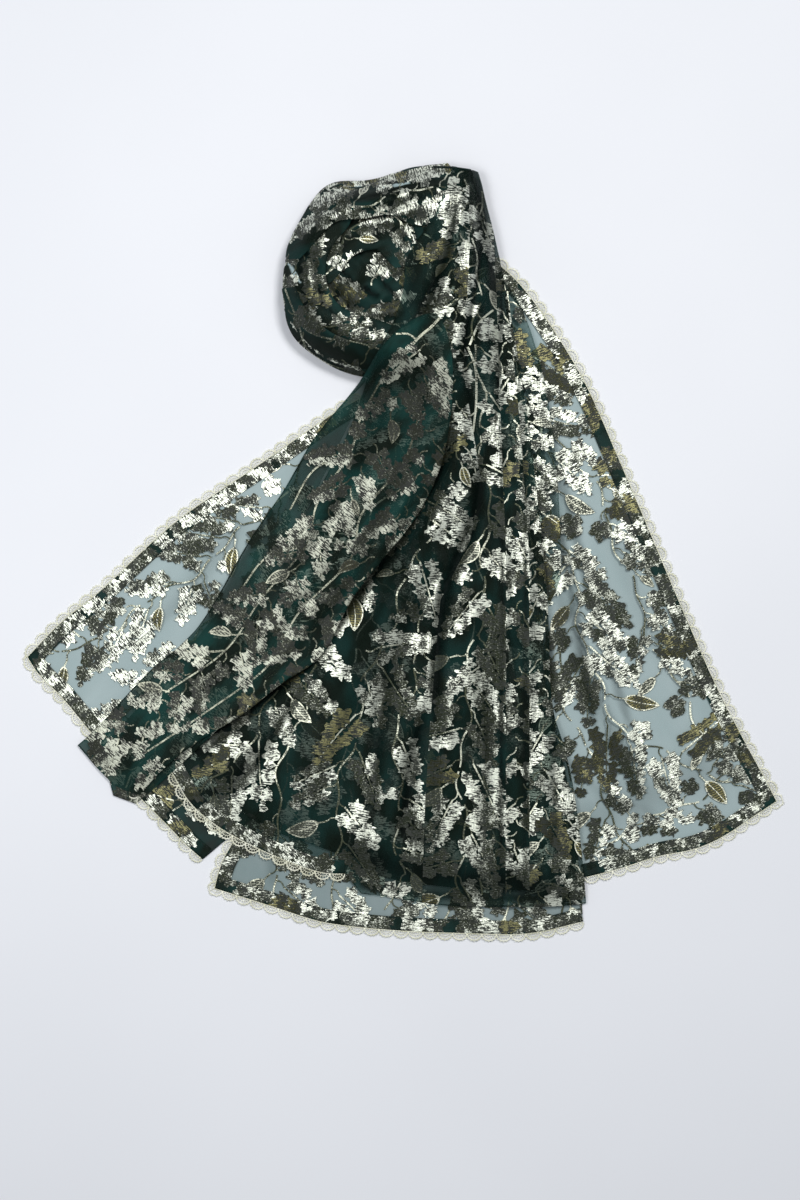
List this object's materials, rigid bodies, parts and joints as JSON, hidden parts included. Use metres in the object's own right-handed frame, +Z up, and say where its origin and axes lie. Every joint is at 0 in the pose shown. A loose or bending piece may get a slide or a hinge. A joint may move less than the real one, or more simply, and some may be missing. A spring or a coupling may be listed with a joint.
{
  "type": "dupatta stole",
  "caption": "Sheer brocade dupatta laid flat: gathered across its middle into a loose coil and fanned out in overlapping folded stretches, with turned hems and scalloped lace edging.",
  "frame": {"origin": "middle of the bottom of the whole, on the surface that it lies on", "axes": "+Z up out of the surface, +Y from the fanned ends towards the coil, +X to the right"},
  "size_m": [0.7584, 0.775, 0.0641],
  "materials": {
    "sheer_cloth": "sheer bottle-green organza, one layer, with silver-gold woven brocade",
    "layered_cloth": "bottle-green organza in several layers, with bright silver-gold woven brocade",
    "reverse_cloth": "reverse side of the cloth: bottle green with dull tan outlines",
    "lace": "matt pale gold thread lace"
  },
  "bodies": {
    "root": {"left_wing": "sheer_cloth", "right_wing": "sheer_cloth", "right_pleats": "layered_cloth", "lower_flap": "sheer_cloth", "left_under_flap": "layered_cloth", "hidden_folds": "layered_cloth", "right_under_fold": "layered_cloth", "front_panel": "layered_cloth", "left_fold_ply": "reverse_cloth", "left_fold": "reverse_cloth", "roll_core": "layered_cloth", "roll_swirl_inner": "layered_cloth", "roll_swirl_outer": "layered_cloth", "roll_side_turn": "layered_cloth", "roll_top_turn": "layered_cloth", "roll_outer_turn": "layered_cloth", "left_wing_lace": "lace", "right_wing_lace": "lace", "lower_flap_lace": "lace", "under_flap_lace": "lace", "front_lace": "lace"}
  },
  "joints": []
}
